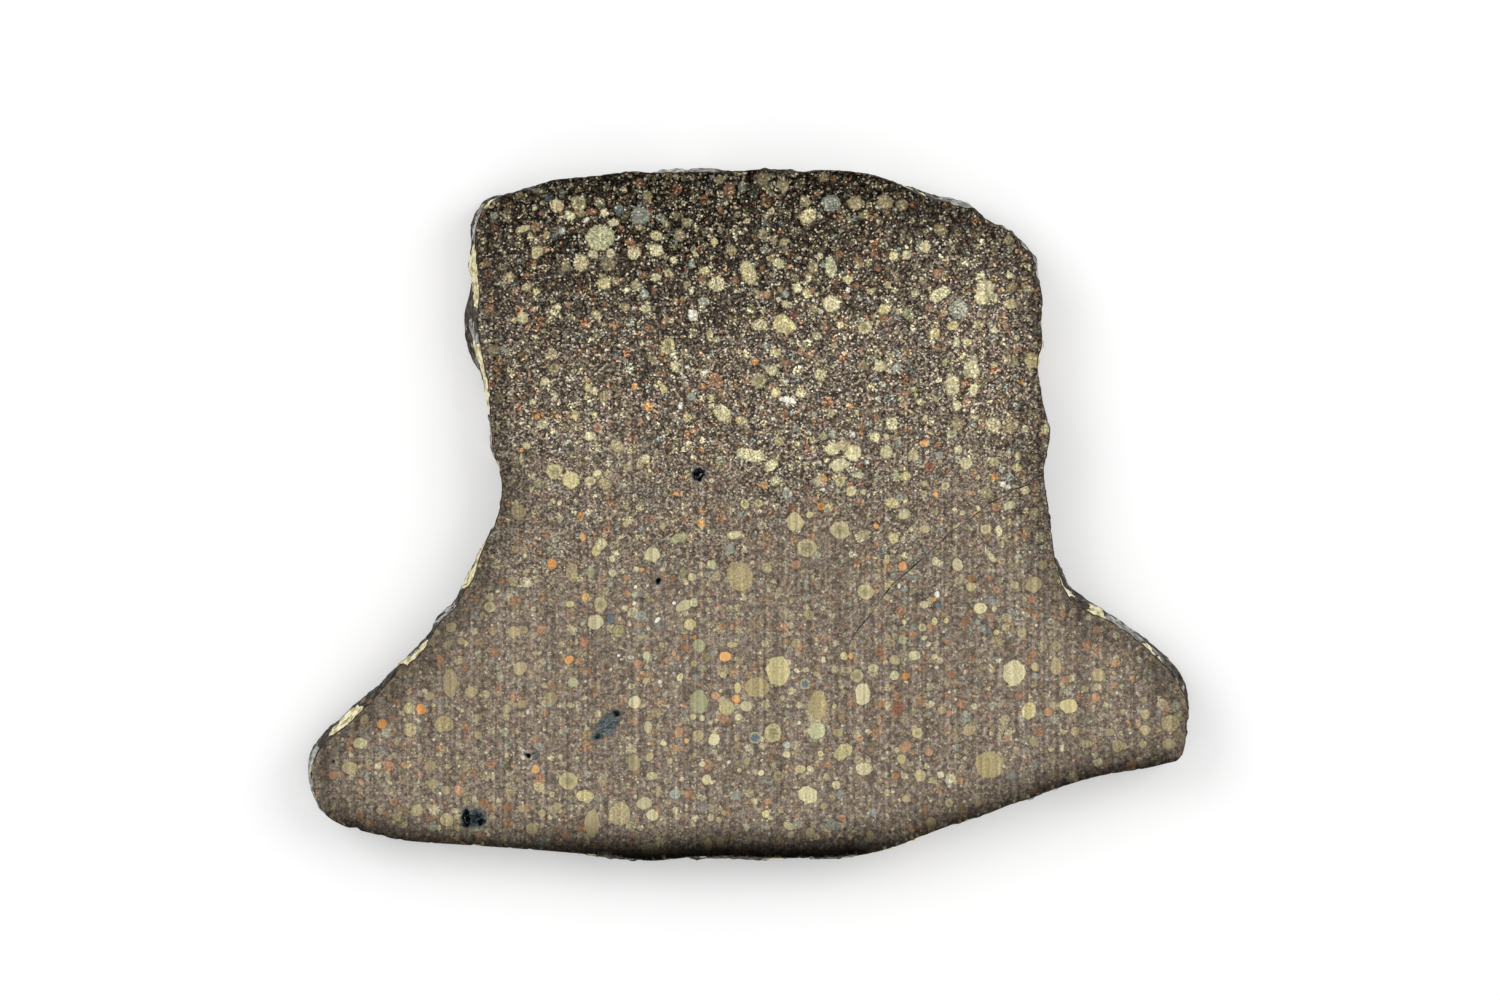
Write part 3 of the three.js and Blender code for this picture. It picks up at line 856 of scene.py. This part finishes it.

# %% [markdown]
# ## Crust and sheen on the rim
#
# Lime from desert ground has grown over parts of the skin as a cream crust, other parts are
# grey, partly grey skin and partly a painted sheen, and the rest is bare and nearly black.
# The patches are told as stretches of the outline with what each carries. Where the rim
# leans in and is hidden from above, the finish scatters them by noise.

# %% Tell each rim point which patch of crust or sheen it carries
RIM_PATCHES = {
    "lime": [
        # ends on the chart, and how thick the patch is
        (474, 250, 472, 300, 1.2), (476, 347, 487, 404, 1), (492, 456, 496, 467, 1),
        (482, 551, 467, 580, 1), (452, 609, 446, 616, 0.5), (422, 646, 407, 660, 1),
        (357, 709, 334, 731, 0.95), (1060, 571, 1069, 593, 0.6), (1092, 609, 1102, 615, 0.75),
        (1142, 643, 1149, 649, 0.45), (1165, 663, 1171, 672, 0.45),
        (1039, 372, 1043, 335, 0.8), (880, 852, 930, 834, 0.8), (1100, 777, 1140, 770, 0.8),
    ],
    "grey_and_sheen": [
        (482, 212, 473, 236, 1), (468, 329, 473, 341, 1), (489, 425, 491, 446, 1),
        (452, 606, 440, 621, 0.7), (313, 752, 308, 796, 1), (312, 798, 320, 808, 0.8),
        (1052, 516, 1056, 556, 0.8), (1112, 622, 1135, 638, 0.8), (1154, 652, 1162, 660, 0.7),
        (664, 170, 712, 170, 0.8), (947, 201, 964, 204, 0.7), (1001, 227, 1005, 229, 0.7),
        (1040, 320, 1036, 262, 0.8), (420, 842, 540, 852, 0.8), (980, 818, 1050, 792, 0.8),
    ],
    "bare": [
        (469, 304, 470, 327, 1), (497, 480, 494, 534, 1), (464, 586, 458, 600, 1),
        (434, 628, 428, 636, 1), (398, 668, 366, 702, 1), (328, 739, 318, 749, 1),
        (1044, 430, 1048, 510, 1), (1076, 600, 1084, 604, 1), (1176, 682, 1187, 740, 1),
        (520, 192, 640, 173, 0.8), (745, 171, 820, 171, 0.8), (985, 216, 993, 222, 0.8),
    ],
}
NEAR_STRETCH, PAST_STRETCH = 3.5, 11     # chart steps, between which a crust fades out
PATCH_SWAY = 0.6              # how far a patch sways sideways, for each step down the rim


def patch_share(place, stretches):
    """How far a place belongs to the nearest of some stretches, from 0 to 1."""
    best = 0
    sway = noise.noise_vector(place / MM * 0.5) * (TOP - place.z) * PATCH_SWAY
    spot = (place + sway).xy
    for x0, y0, x1, y1, thickness in stretches:
        start, line = on_chart(x0, y0).xy, (on_chart(x1, y1) - on_chart(x0, y0)).xy
        share = min(max((spot - start).dot(line) / line.length_squared, 0), 1)
        gap = (spot - start - line * share).length / STEP
        best = max(best, thickness * (1 - ease(gap, NEAR_STRETCH, PAST_STRETCH)))
    return best


rim_points = {n for cell in mesh_cells if cell.material_index == STONE_SKIN for n in cell.vertices}
rim_patches = np.zeros((len(slice_mesh.vertices), 3))
for number in rim_points:
    place = slice_mesh.vertices[number].co
    rim_patches[number] = [patch_share(place, RIM_PATCHES[kind]) for kind in ("lime", "grey_and_sheen", "bare")]
tell("rim_patches", "FLOAT_VECTOR", rim_patches, "POINT")
print("rim points with lime:", int((rim_patches[:, 0] > 0.5).sum()))

# %% [markdown]
# ## Finishes
#
# The two finishes are built from small steps: patterns that fill space, masks cut out of
# them, and colours laid over each other through the masks. A few short helpers write the
# steps, so that each finish below reads as a recipe.

# %% Helpers for writing a finish
class Recipe:
    """One material, and short ways to add steps to it."""

    def __init__(self, name):
        self.material = bpy.data.materials.new(name)
        self.material.use_nodes = True
        self.tree = self.material.node_tree
        self.shader = self.tree.nodes["Principled BSDF"]

    def step(self, kind, inputs, output=0, **settings):
        """Adds a node, with its inputs set or joined, and returns one of its outputs."""
        node = self.tree.nodes.new(kind)
        for key, value in settings.items():
            setattr(node, key, value)
        for key, value in inputs.items():
            self.feed(node.inputs[key], value)
        return node.outputs[output]

    def feed(self, socket, value):
        """Joins an output to a socket, or sets the socket to a plain value."""
        if isinstance(value, bpy.types.NodeSocket):
            self.tree.links.new(value, socket)
        else:
            socket.default_value = value

    def told(self, name, output="Vector"):
        """What the mesh was told under a name."""
        return self.step("ShaderNodeAttribute", {}, output, attribute_name=name)

    def math(self, operation, *values):
        """A sum, product or other short calculation."""
        return self.step("ShaderNodeMath", dict(enumerate(values)), operation=operation)

    def vector(self, operation, *values, output=0):
        """A calculation with places or arrows."""
        inputs = dict(enumerate(values))
        return self.step("ShaderNodeVectorMath", inputs, output, operation=operation)

    def between(self, value, start, end, low=0.0, high=1.0):
        """A smooth step from low at start to high at end."""
        inputs = {0: value, 1: start, 2: end, 3: low, 4: high}
        return self.step("ShaderNodeMapRange", inputs, interpolation_type="SMOOTHSTEP")

    def scaled(self, arrow, factor):
        """A place, arrow or colour made longer or shorter by a factor."""
        return self.step("ShaderNodeVectorMath", {0: arrow, "Scale": factor}, operation="SCALE")

    def noise(self, place, scale, detail=2.0, flat="3D"):
        """A cloudy pattern around 0.5."""
        inputs = {0: place, "Scale": scale, "Detail": detail}
        return self.step("ShaderNodeTexNoise", inputs, noise_dimensions=flat)

    def blend(self, share, under, over, how="MIX"):
        """Lays one colour over another through a mask."""
        inputs = {"Factor": share, 6: under, 7: over}
        return self.step("ShaderNodeMix", inputs, 2, data_type="RGBA", blend_type=how)

    def shades(self, value, colours, steps=False):
        """A colour out of a row of colours."""
        node = self.tree.nodes.new("ShaderNodeValToRGB")
        ramp = node.color_ramp
        ramp.interpolation = "CONSTANT" if steps else "LINEAR"
        while len(ramp.elements) < len(colours):
            ramp.elements.new(0.5)
        for number, colour in enumerate(colours):
            ramp.elements[number].position = number / (len(colours) if steps else len(colours) - 1)
            ramp.elements[number].color = (*linear(colour), 1)
        self.feed(node.inputs[0], value)
        return node.outputs[0]


print("helpers ready")

# %% [markdown]
# Small grains are too many to list, so patterns of scattered discs stand in for them. The
# surface is divided into uneven cells with a disc in each. A lot drawn for the cell decides
# how large the disc is, how clearly it shows and which colour it has, and noise bends its
# edge. Several patterns of different spacing give grains of all sizes.

# %% Scatter small grains
SMALL_GRAINS = [
    "7d705f", "b7ab85", "a0937a", "c9bd95", "97805f", "8f938a", "b08a68", "5f5549",
    "bdb28e", "a79b78", "8a7d6a", "b08262", "aaa890", "6b6054", "d3c9a4", "9b8d74",
]
CRUMBS = ["ddd5b4", "efe9d2", "cfc49a", "c9925f", "e4dcc0", "d2c8a0", "bb7d58", "c8ccc0"]


def scatter(
    finish, place, under, spacing, sizes, share, strength, mottle, colours=SMALL_GRAINS, flat="2D"
):
    """Lays discs of random size and colour over a colour, spacing millimetres apart."""
    inputs = {0: place, "Scale": 1 / spacing}
    distance = finish.step("ShaderNodeTexVoronoi", inputs, "Distance", voronoi_dimensions=flat)
    lot = finish.step("ShaderNodeSeparateColor", {0: distance.node.outputs["Color"]})
    size, clear, hue = lot.node.outputs
    radius = finish.between(size, 0.0, 1.0, sizes[0] / spacing, sizes[1] / spacing)
    gap = finish.math("SUBTRACT", radius, distance)
    gap = finish.math("MULTIPLY_ADD", mottle, 0.45, gap)
    shown = finish.math("MULTIPLY", finish.between(clear, share, share * 0.3), strength)
    disc = finish.math("MULTIPLY", finish.between(gap, 0.0, 0.035 / spacing), shown)
    dust = finish.math("MULTIPLY", finish.between(gap, -0.05 / spacing, 0.02 / spacing), shown)
    ringed = finish.blend(finish.math("MULTIPLY", dust, 0.3), under, (0, 0, 0, 1))
    return finish.blend(disc, ringed, finish.shades(hue, colours, steps=True))


print("small grains come in", len(SMALL_GRAINS) + len(CRUMBS), "colours")

# %% [markdown]
# The large grains are drawn from what each cell was told. How far a place is inside a
# grain comes from the grain's two arrows. Noise is added to that, so the outline isn't a
# perfect oval. A thin dark line of dust runs round most grains, and some have a dark core.

# %% Draw the large grains
def large_grain(finish, place, patterns, slot, under):
    """Lays the grain in one slot over a colour."""
    ragged, nibbles, mottle, least_clear = patterns
    middle, along, across = (
        finish.told(f"grain_{name}_{slot}") for name in ("place", "along", "across")
    )
    offset = finish.vector("MULTIPLY", finish.vector("SUBTRACT", place, middle), (1, 1, 0))
    length = finish.vector("DOT_PRODUCT", offset, along, output="Value")
    width = finish.vector("DOT_PRODUCT", offset, across, output="Value")
    arrow = finish.step("ShaderNodeCombineXYZ", {0: length, 1: width})
    inside = finish.vector("LENGTH", arrow, output="Value")
    radius = finish.step("ShaderNodeSeparateXYZ", {0: along}, "Z")
    core = finish.step("ShaderNodeSeparateXYZ", {0: across}, "Z")
    clarity = finish.step("ShaderNodeSeparateXYZ", {0: middle}, "Z")
    clarity = finish.math("MAXIMUM", clarity, least_clear)
    edge = finish.math("MULTIPLY_ADD", finish.math("SUBTRACT", inside, 1.0), radius, nibbles)
    bend = finish.math("MULTIPLY_ADD", radius, 0.38, 0.06)
    edge = finish.math("MULTIPLY_ADD", ragged, bend, edge)
    disc = finish.math("MULTIPLY", finish.between(edge, 0.03, -0.03), clarity)
    dust = finish.math("MULTIPLY", finish.between(edge, 0.1, 0.01), clarity)
    colour = finish.told(f"grain_colour_{slot}", "Color")
    texture = colour.node.outputs["Alpha"]
    patches = finish.math("MULTIPLY_ADD", finish.math("MULTIPLY", mottle, texture), 2.8, 1.0)
    heart = finish.math("MULTIPLY", finish.between(inside, 0.75, 0.25), core)
    patches = finish.math("MULTIPLY", patches, finish.math("SUBTRACT", 1.0, heart))
    ringed = finish.blend(finish.math("MULTIPLY", dust, 0.3), under, (0, 0, 0, 1))
    return finish.blend(disc, ringed, finish.scaled(colour, patches))


print("each cell draws up to", SLOTS, "grains")

# %% [markdown]
# ## Finish of the sawn faces
#
# The stone between the grains is a fine grey-brown dust turned to rock. Towards the crown it
# is nearly black and its specks are sharp. Towards the base it is paler and soft. The saw
# has left faint lines across it, which are both seen and felt.
#
# The patterns here are flat ones, since the faces are flat and flat patterns are quicker to
# work out. Height shifts them sideways, so that the two faces don't show the same pattern.

# %% Make the finish of the sawn faces
sawn = Recipe("sawn_chondrite")
spot = sawn.scaled(sawn.step("ShaderNodeTexCoord", {}, "Object"), 1 / MM)
across_slice, up_slice, above = sawn.step("ShaderNodeSeparateXYZ", {0: spot}).node.outputs
shifted = sawn.step("ShaderNodeCombineXYZ", {
    0: sawn.math("MULTIPLY_ADD", above, 7.0, across_slice),
    1: sawn.math("MULTIPLY_ADD", above, 3.0, up_slice),
})

ragged = sawn.math("SUBTRACT", sawn.noise(shifted, 2.3, 3.0, flat="2D"), 0.5)
mottle = sawn.math("SUBTRACT", sawn.noise(shifted, 8.0, 2.0, flat="2D"), 0.5)
broad = sawn.math("SUBTRACT", sawn.noise(shifted, 0.16, 1.0, flat="2D"), 0.5)
sideways = sawn.math("ADD", across_slice, 3.0)
height = sawn.math("MULTIPLY_ADD", broad, 9.0, up_slice)
arched = sawn.math("MULTIPLY_ADD", sawn.math("MULTIPLY", sideways, sideways), -0.02, height)
crown = sawn.between(arched, 3.0, 22.0)
sharp = sawn.between(height, -10.0, 11.0)

clouds = sawn.noise(shifted, 3.0, 4.0, flat="2D")
pale = sawn.shades(sawn.between(clouds, 0.3, 0.7), ["675b50", "7c6f64", "948779"])
dark = sawn.shades(sawn.between(clouds, 0.3, 0.7), ["12100d", "2b241d", "54493c"])
stone_colour = sawn.blend(crown, pale, dark)

vivid = sawn.between(sharp, 0.0, 1.0, 0.7, 0.9)
SCATTERS = [
    # spacing, smallest and largest radius in mm, share that shows
    (0.17, (0.03, 0.08), 0.7), (0.3, (0.05, 0.14), 0.75), (0.55, (0.08, 0.24), 0.85),
    (0.95, (0.14, 0.36), 0.7),
]
for spacing, sizes, share in SCATTERS:
    stone_colour = scatter(sawn, shifted, stone_colour, spacing, sizes, share, vivid, mottle)
print("steps in the sawn finish so far:", len(sawn.tree.nodes))

# %% [markdown]
# A fine speckle goes over the stone and its small grains. It is strong near the crown and
# weak near the base. Only then come the crumbs, which are the brightest specks, and the
# large grains, which stay cleaner than the stone round them.

# %% Add speckle, crumbs and large grains
speckle = sawn.step(
    "ShaderNodeTexVoronoi", {0: shifted, "Scale": 1 / 0.1}, "Color", voronoi_dimensions="2D"
)
speckle = sawn.math("SUBTRACT", sawn.step("ShaderNodeSeparateColor", {0: speckle}), 0.5)
speckle_stops = sawn.math("MULTIPLY", speckle, sawn.between(sharp, 0.0, 1.0, 0.9, 2.6))
glints = sawn.math("MULTIPLY", sawn.between(speckle, 0.44, 0.48), sawn.between(sharp, 0.3, 1.0))
dimming = sawn.math(
    "MULTIPLY", sawn.between(crown, 0.0, 1.0, 1.0, 0.66), sawn.between(sharp, 0.0, 1.0, 1.04, 0.68)
)
stone_tone = sawn.math("MULTIPLY", sawn.math("POWER", 2.0, speckle_stops), dimming)
stone_colour = sawn.scaled(stone_colour, stone_tone)
stone_colour = scatter(
    sawn, shifted, stone_colour, 0.42, (0.03, 0.1), 0.3, vivid, mottle, colours=CRUMBS
)

nibbles = sawn.math("MULTIPLY", mottle, sawn.between(sharp, 0.0, 1.0, 0.1, 0.4))
strong_mottle = sawn.math("MULTIPLY", mottle, sawn.between(sharp, 0.0, 1.0, 1.0, 1.8))
least_clear = sawn.between(sharp, 0.1, 0.9, 0.85, 0.3)
patterns = (ragged, nibbles, strong_mottle, least_clear)
for slot in range(SLOTS):
    stone_colour = large_grain(sawn, spot, patterns, slot, stone_colour)
stone_colour = sawn.blend(sawn.math("MULTIPLY", glints, 0.35), stone_colour, (0.8, 0.76, 0.6, 1))
print("steps in the sawn finish so far:", len(sawn.tree.nodes))

# %% [markdown]
# Over all of it lie the saw's lines, the dark border, and the pits and the crack, whose dark
# slate floors get painted shade that makes them near-black the deeper they lie.

# %% Add saw lines, the dark border and painted shade in the pits and crack
stretched = sawn.vector("MULTIPLY", spot, (4.4, 0.05, 0.05))
lines = sawn.math("SUBTRACT", sawn.noise(stretched, 1.0, 1.0, flat="2D"), 0.5)
line_stops = sawn.math("MULTIPLY", lines, sawn.between(crown, 0.0, 1.0, 1.3, 0.7))
speckle_share = sawn.between(sharp, 0.0, 1.0, 0.28, 0.5)
stops = sawn.math("MULTIPLY_ADD", speckle_stops, speckle_share, line_stops)
tone = sawn.math("MULTIPLY", sawn.math("POWER", 2.0, stops), sawn.told("border_tone", "Fac"))
toned = sawn.scaled(stone_colour, tone)

# Painted shade: the pits and the crack go from dark slate to near-black the deeper a point lies below
# the face, and they blend into the face by that depth.
sunk = sawn.math("MINIMUM", sawn.math("SUBTRACT", TOP / MM, above), above)
pit_colour_and_shade = sawn.shades(sawn.between(sunk, 0.05, 0.3), ["525e60", "252e35", "05070a"])
uneven = sawn.math("POWER", 2.0, sawn.math("MULTIPLY", speckle, 2.4))
pit_colour_and_shade = sawn.scaled(pit_colour_and_shade, uneven)
# Painted glints: a few pale crystal specks shine in the deepest pit.
crystal_glints = sawn.math("MULTIPLY", sawn.between(speckle, 0.36, 0.4), sawn.between(sunk, 0.32, 0.36))
pit_colour_and_shade = sawn.blend(crystal_glints, pit_colour_and_shade, (0.5, 0.5, 0.42, 1))
hollow_colour_and_shade_mask = sawn.math("MULTIPLY", sunk, sawn.math("MULTIPLY_ADD", mottle, 3.5, 1.0))
face_colour = sawn.blend(sawn.between(hollow_colour_and_shade_mask, 0.01, 0.09), toned, pit_colour_and_shade)
sawn.feed(sawn.shader.inputs["Base Color"], face_colour)
sawn.shader.inputs["Specular IOR Level"].default_value = 0.02

relief = sawn.math("MULTIPLY_ADD", lines, 0.5, clouds)
bump = sawn.step("ShaderNodeBump", {"Height": relief, "Distance": 0.00003, "Strength": 0.35})
sawn.feed(sawn.shader.inputs["Normal"], bump)
sawn.feed(sawn.shader.inputs["Roughness"], sawn.between(clouds, 0.2, 0.8, 0.6, 0.48))
print("steps in the sawn finish:", len(sawn.tree.nodes))

# %% [markdown]
# ## Finish of the rim
#
# The skin is bare dark stone with lime and grey over it, the grey partly a painted sheen.
# Noise makes their edges ragged, and a thin near-black line runs round the lime.

# %% Make the finish of the rim
skin = Recipe("weathered_skin")
skin_spot = skin.scaled(skin.step("ShaderNodeTexCoord", {}, "Object"), 1 / MM)
lime, grey_and_sheen, bare = skin.step("ShaderNodeSeparateXYZ", {0: skin.told("rim_patches")}).node.outputs

grime = skin.noise(skin_spot, 2.6, 5.0)
grain_edges = skin.math("SUBTRACT", skin.noise(skin_spot, 5.0, 2.0), 0.5)
skin_colour = skin.shades(skin.between(grime, 0.3, 0.7), ["15120e", "2c261e", "574c3c"])
skin_colour = scatter(
    skin, skin_spot, skin_colour, 0.8, (0.12, 0.32), 0.6, 0.5, grain_edges, flat="3D"
)
skin_height = skin.step("ShaderNodeSeparateXYZ", {0: skin_spot}, "Z")
# Painted shadow line: the crusts are kept off the skin just under the sawn edge, so the dark bare skin
# shows there as shade along the edge.
top_edge_shade = skin.between(skin_height, TOP / MM - 0.14, TOP / MM - 0.04, 0.0, -0.5)
flakes = skin.math("MULTIPLY_ADD", skin.noise(skin_spot, 1.1, 5.0), 1.6, -0.3)
wavering = skin.math("MULTIPLY_ADD", flakes, 2.5, skin.math("SUBTRACT", skin_height, 1.25))
# Grey patches: partly grey skin, partly a painted sheen.
grey_and_sheen_level = skin.math("MULTIPLY_ADD", grey_and_sheen, 0.45, flakes)
grey_and_sheen_level = skin.math("MULTIPLY_ADD", bare, -0.3, grey_and_sheen_level)
grey_and_sheen_level = skin.math("ADD", grey_and_sheen_level, skin.between(wavering, 0.2, 1.0, -0.45, top_edge_shade))
grey_and_sheen_colours = skin.shades(skin.between(grime, 0.3, 0.7), ["5c5b57", "908f89", "c4c4bd"])
skin_colour = skin.blend(skin.between(grey_and_sheen_level, 0.6, 0.66), skin_colour, grey_and_sheen_colours)
lime_flakes = skin.math("MULTIPLY_ADD", skin.noise(skin_spot, 0.7, 5.0), 1.8, -0.46)
lime_level = skin.math("MULTIPLY_ADD", lime, 0.5, lime_flakes)
lime_level = skin.math("MULTIPLY_ADD", bare, -0.3, lime_level)
lime_level = skin.math("MULTIPLY_ADD", grey_and_sheen, -0.2, lime_level)
lime_level = skin.math("ADD", lime_level, skin.between(wavering, 0.6, 3.2, -0.55, top_edge_shade))
lime_shade = skin.shades(skin.between(grime, 0.35, 0.65), ["9c8f62", "ddd19f", "f4eed2"])
outlined = skin.blend(skin.between(lime_level, 0.5, 0.57), skin_colour, (0.008, 0.007, 0.005, 1))
skin_colour = skin.blend(skin.between(lime_level, 0.585, 0.61), outlined, lime_shade)
skin.feed(skin.shader.inputs["Base Color"], skin_colour)
skin.shader.inputs["Specular IOR Level"].default_value = 0.25
skin.feed(skin.shader.inputs["Roughness"], skin.between(grime, 0.3, 0.7, 0.8, 0.6))
grit = skin.noise(skin_spot, 9.0, 4.0)
skin_bump = skin.step("ShaderNodeBump", {"Height": grit, "Distance": 0.00006, "Strength": 0.5})
skin.feed(skin.shader.inputs["Normal"], skin_bump)

slice_mesh.materials.append(sawn.material)
slice_mesh.materials.append(skin.material)
print("finishes:", [material.name for material in slice_mesh.materials])

# %% [markdown]
# ## Floor and light
#
# The slice lies on a plain white floor, a sheet of paper on a light table, whose faint
# glow keeps the shadows round a thin thing light. The rest of the light is that of a
# photographer's tent: one large lamp at each side and a bright, even sky.

# %% Set the floor and the lights
FLOOR_SIDE = 1.2
FLOOR_DROP = 0.0001           # keeps the floor and the lower face from fighting for one plane

floor_mesh = bpy.data.meshes.new("floor")
sheet = bmesh.new()
bmesh.ops.create_grid(sheet, x_segments=1, y_segments=1, size=FLOOR_SIDE / 2)
bmesh.ops.translate(sheet, verts=sheet.verts[:], vec=(0, 0, -FLOOR_DROP))
sheet.to_mesh(floor_mesh)
sheet.free()
floor = bpy.data.objects.new("floor", floor_mesh)
bpy.context.scene.collection.objects.link(floor)
floor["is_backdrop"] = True

paper = Recipe("white_paper")
paper.shader.inputs["Base Color"].default_value = (0.85, 0.85, 0.85, 1)
paper.shader.inputs["Roughness"].default_value = 0.9
paper.shader.inputs["Specular IOR Level"].default_value = 0
paper.shader.inputs["Emission Color"].default_value = (1, 1, 1, 1)
paper.shader.inputs["Emission Strength"].default_value = 0.2
floor.data.materials.append(paper.material)

LAMPS = [(-0.35, 0.2, 0.4, 0.95), (0.35, 0.1, 0.4, 0.87)]     # place, and power in watts
for x, y, z, power in LAMPS:
    light = bpy.data.lights.new("softbox", "AREA")
    light.size = 0.35
    light.energy = power
    lamp = bpy.data.objects.new("softbox", light)
    lamp.location = (x, y, z)
    lamp.rotation_euler = (-lamp.location).to_track_quat("-Z", "Y").to_euler()
    bpy.context.scene.collection.objects.link(lamp)

sky = bpy.data.worlds.new("even_sky")
sky.use_nodes = True
sky.node_tree.nodes["Background"].inputs["Color"].default_value = (1, 1, 1, 1)
sky.node_tree.nodes["Background"].inputs["Strength"].default_value = 0.63
bpy.context.scene.world = sky
bpy.context.scene.view_settings.view_transform = "Standard"
print("lamps:", len(LAMPS))

# %% [markdown]
# ## Camera
#
# The slice is best seen straight down, with its sawn face square to the view. A long lens
# from a little way off keeps the near and far parts of the rim the same size.

# %% Place the camera
VIEW_WIDTH = 1500             # chart steps across the view at the face
VIEW_MIDDLE = (750, 500)
LENS, SENSOR = 150, 36

camera = bpy.data.cameras.new("camera")
camera.lens = LENS
camera.sensor_width = SENSOR
camera.clip_start = 0.01
view = bpy.data.objects.new("camera", camera)
view.location = on_chart(*VIEW_MIDDLE, TOP + VIEW_WIDTH * STEP * LENS / SENSOR)
bpy.context.scene.collection.objects.link(view)
bpy.context.scene.camera = view
print("camera above the face, in mm:", round((view.location.z - TOP) / MM, 1))

# %% [markdown]
# Last, the size of what was made is kept beside the size of the plain slab, and printed.

made_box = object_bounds()
sizes = {
    "slab": [list(corner) for corner in slab_box],
    "made": [list(corner) for corner in made_box],
}
print("made, in mm:", [[round(value / MM, 2) for value in corner] for corner in made_box])
